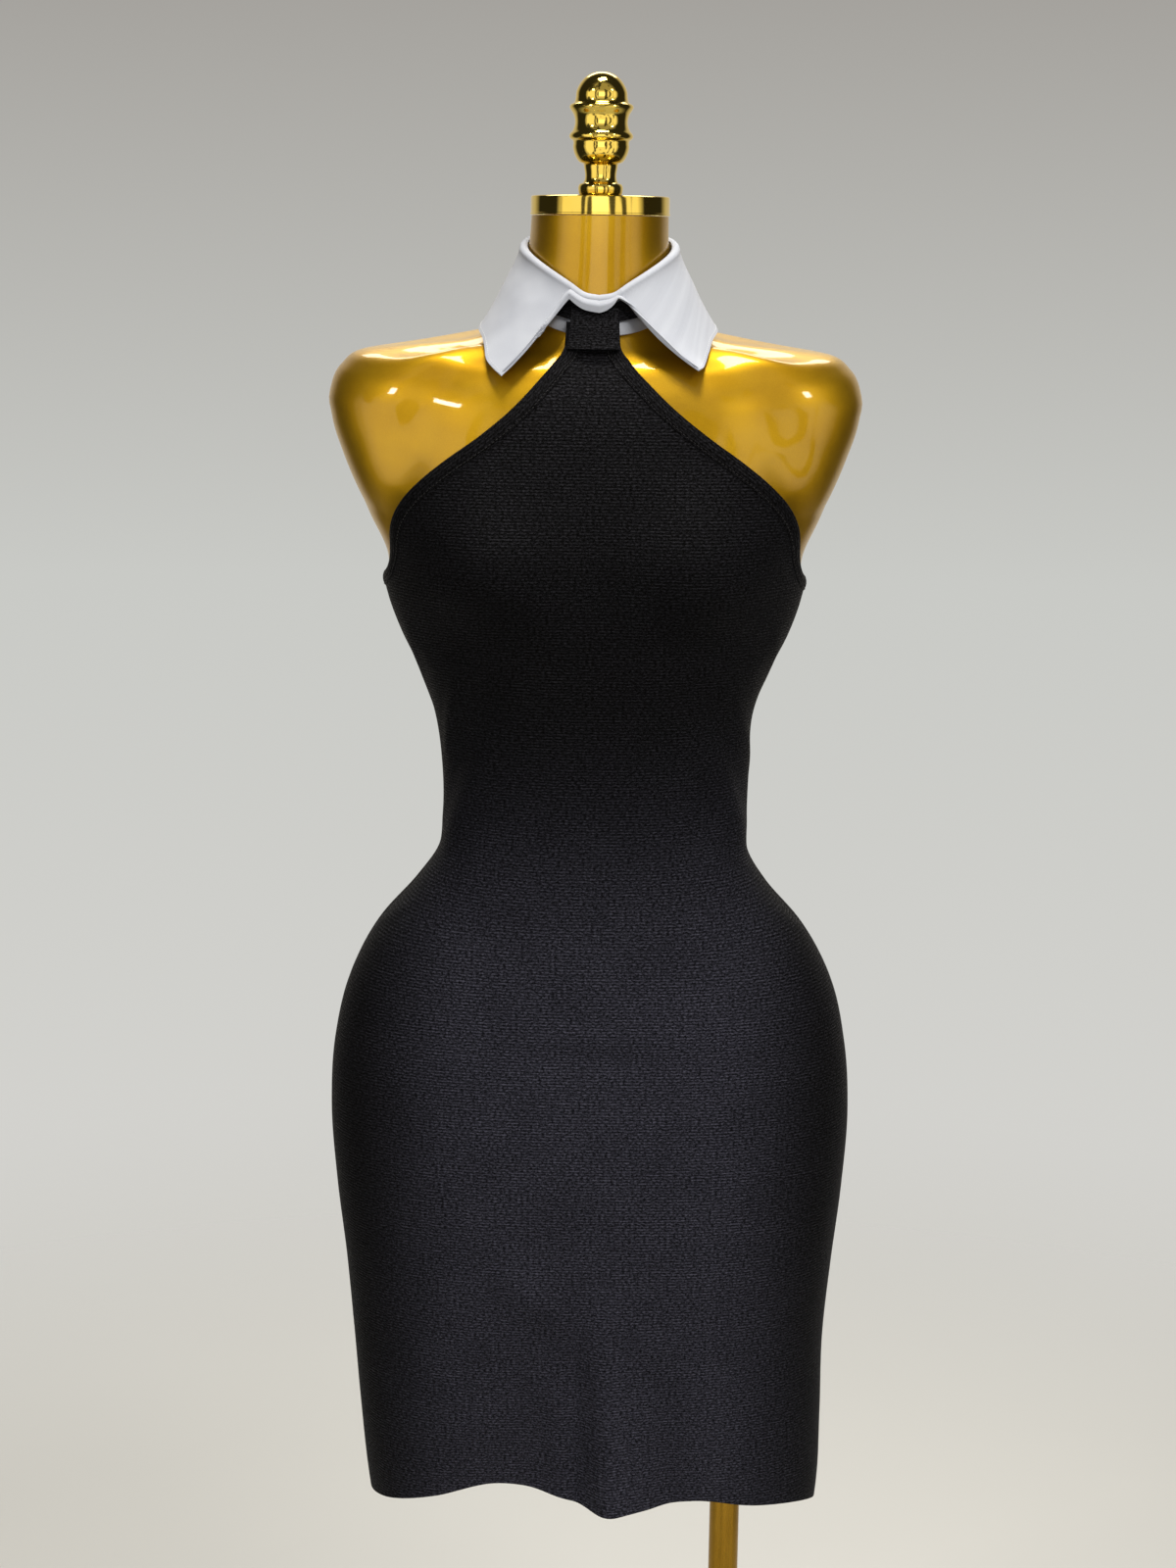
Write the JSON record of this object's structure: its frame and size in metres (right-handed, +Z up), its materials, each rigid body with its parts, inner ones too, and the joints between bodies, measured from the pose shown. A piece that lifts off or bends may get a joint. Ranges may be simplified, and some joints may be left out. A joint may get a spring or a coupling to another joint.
{
  "type": "bodycon dress on a limbless dress form",
  "caption": "Halter bodycon mini dress in fine rib knit with a pointed shirt collar, worn by a limbless dress form on a pole stand with a round base.",
  "frame": {"origin": "on the floor, under the middle of the round base plate", "axes": "+Z up along the form, -Y is the dress's front, +X is to the right of someone who looks at the front"},
  "size_m": [0.4, 0.4, 1.5562],
  "materials": {
    "rib_knit": "fine horizontal rib, soft sheen",
    "collar_cloth": "smooth matte twill",
    "button": "gloss",
    "gold_lacquer": "satin metallic under clear lacquer",
    "polished_brass": "polished"
  },
  "bodies": {
    "root": {"dress_front": "rib_knit", "dress_back": "rib_knit", "edge_binding_left": "rib_knit", "edge_binding_right": "rib_knit", "edge_binding_back": "rib_knit", "neck_tab": "rib_knit", "neckband": "rib_knit", "neckband_button": "button", "collar_stand": "collar_cloth", "collar_fall": "collar_cloth", "form_body": "gold_lacquer", "neck_cap": "polished_brass", "finial": "polished_brass", "pole_socket": "polished_brass", "pole": "polished_brass", "pole_foot_ring": "polished_brass", "base_plate": "polished_brass"}
  },
  "joints": []
}
